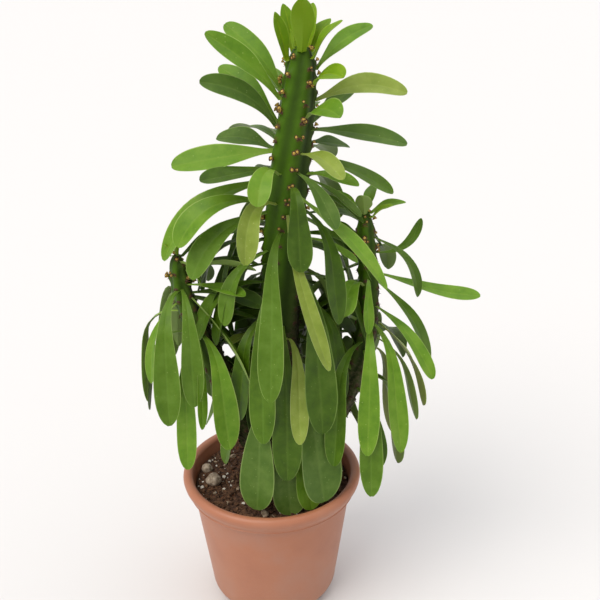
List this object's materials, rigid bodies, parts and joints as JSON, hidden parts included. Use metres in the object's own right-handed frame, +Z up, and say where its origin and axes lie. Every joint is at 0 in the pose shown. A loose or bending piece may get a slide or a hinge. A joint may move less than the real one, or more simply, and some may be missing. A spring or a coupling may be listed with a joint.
{
  "type": "potted plant",
  "caption": "Tall ribbed succulent with side branches and long drooping spoon-shaped leaves, planted in a round tapered nursery pot with a rolled rim.",
  "frame": {"origin": "centre of the pot's flat base, where it meets the surface it stands on", "axes": "+Z up along the pot's axis and the plant's height, -Y towards the plant's front, +X to the right seen from the front"},
  "size_m": [0.324, 0.1904, 0.6041],
  "materials": {
    "pot_plastic": "matte moulded terracotta-coloured plastic",
    "soil_mix": "loose dark peat mix with perlite",
    "stem_skin": "smooth waxy green stem skin",
    "leaf_blade": "satin fleshy leaf",
    "pumice_stone": "rough porous stone"
  },
  "bodies": {
    "root": {"arch_leaf_1": "leaf_blade", "arch_leaf_2": "leaf_blade", "arch_leaf_3": "leaf_blade", "back_leaf_1": "leaf_blade", "back_leaf_10": "leaf_blade", "back_leaf_2": "leaf_blade", "back_leaf_3": "leaf_blade", "back_leaf_4": "leaf_blade", "back_leaf_5": "leaf_blade", "back_leaf_6": "leaf_blade", "back_leaf_7": "leaf_blade", "back_leaf_8": "leaf_blade", "back_leaf_9": "leaf_blade", "base_leaf_1": "leaf_blade", "base_leaf_2": "leaf_blade", "base_leaf_3": "leaf_blade", "base_leaf_4": "leaf_blade", "crown_leaf_1": "leaf_blade", "crown_leaf_10": "leaf_blade", "crown_leaf_11": "leaf_blade", "crown_leaf_2": "leaf_blade", "crown_leaf_3": "leaf_blade", "crown_leaf_4": "leaf_blade", "crown_leaf_5": "leaf_blade", "crown_leaf_6": "leaf_blade", "crown_leaf_7": "leaf_blade", "crown_leaf_8": "leaf_blade", "crown_leaf_9": "leaf_blade", "front_leaf_1": "leaf_blade", "front_leaf_2": "leaf_blade", "front_leaf_3": "leaf_blade", "front_leaf_4": "leaf_blade", "front_leaf_5": "leaf_blade", "front_leaf_6": "leaf_blade", "front_leaf_7": "leaf_blade", "front_leaf_8": "leaf_blade", "left_branch": "stem_skin", "left_leaf_1": "leaf_blade", "left_leaf_2": "leaf_blade", "left_leaf_3": "leaf_blade", "left_leaf_4": "leaf_blade", "left_leaf_5": "leaf_blade", "left_leaf_6": "leaf_blade", "main_stem": "stem_skin", "pot": "pot_plastic", "pumice_large": "pumice_stone", "pumice_small": "pumice_stone", "right_branch": "stem_skin", "right_leaf_1": "leaf_blade", "right_leaf_2": "leaf_blade", "right_leaf_3": "leaf_blade", "right_leaf_4": "leaf_blade", "right_leaf_5": "leaf_blade", "right_leaf_6": "leaf_blade", "right_leaf_7": "leaf_blade", "right_leaf_8": "leaf_blade", "right_leaf_9": "leaf_blade", "soil": "soil_mix"}
  },
  "joints": []
}
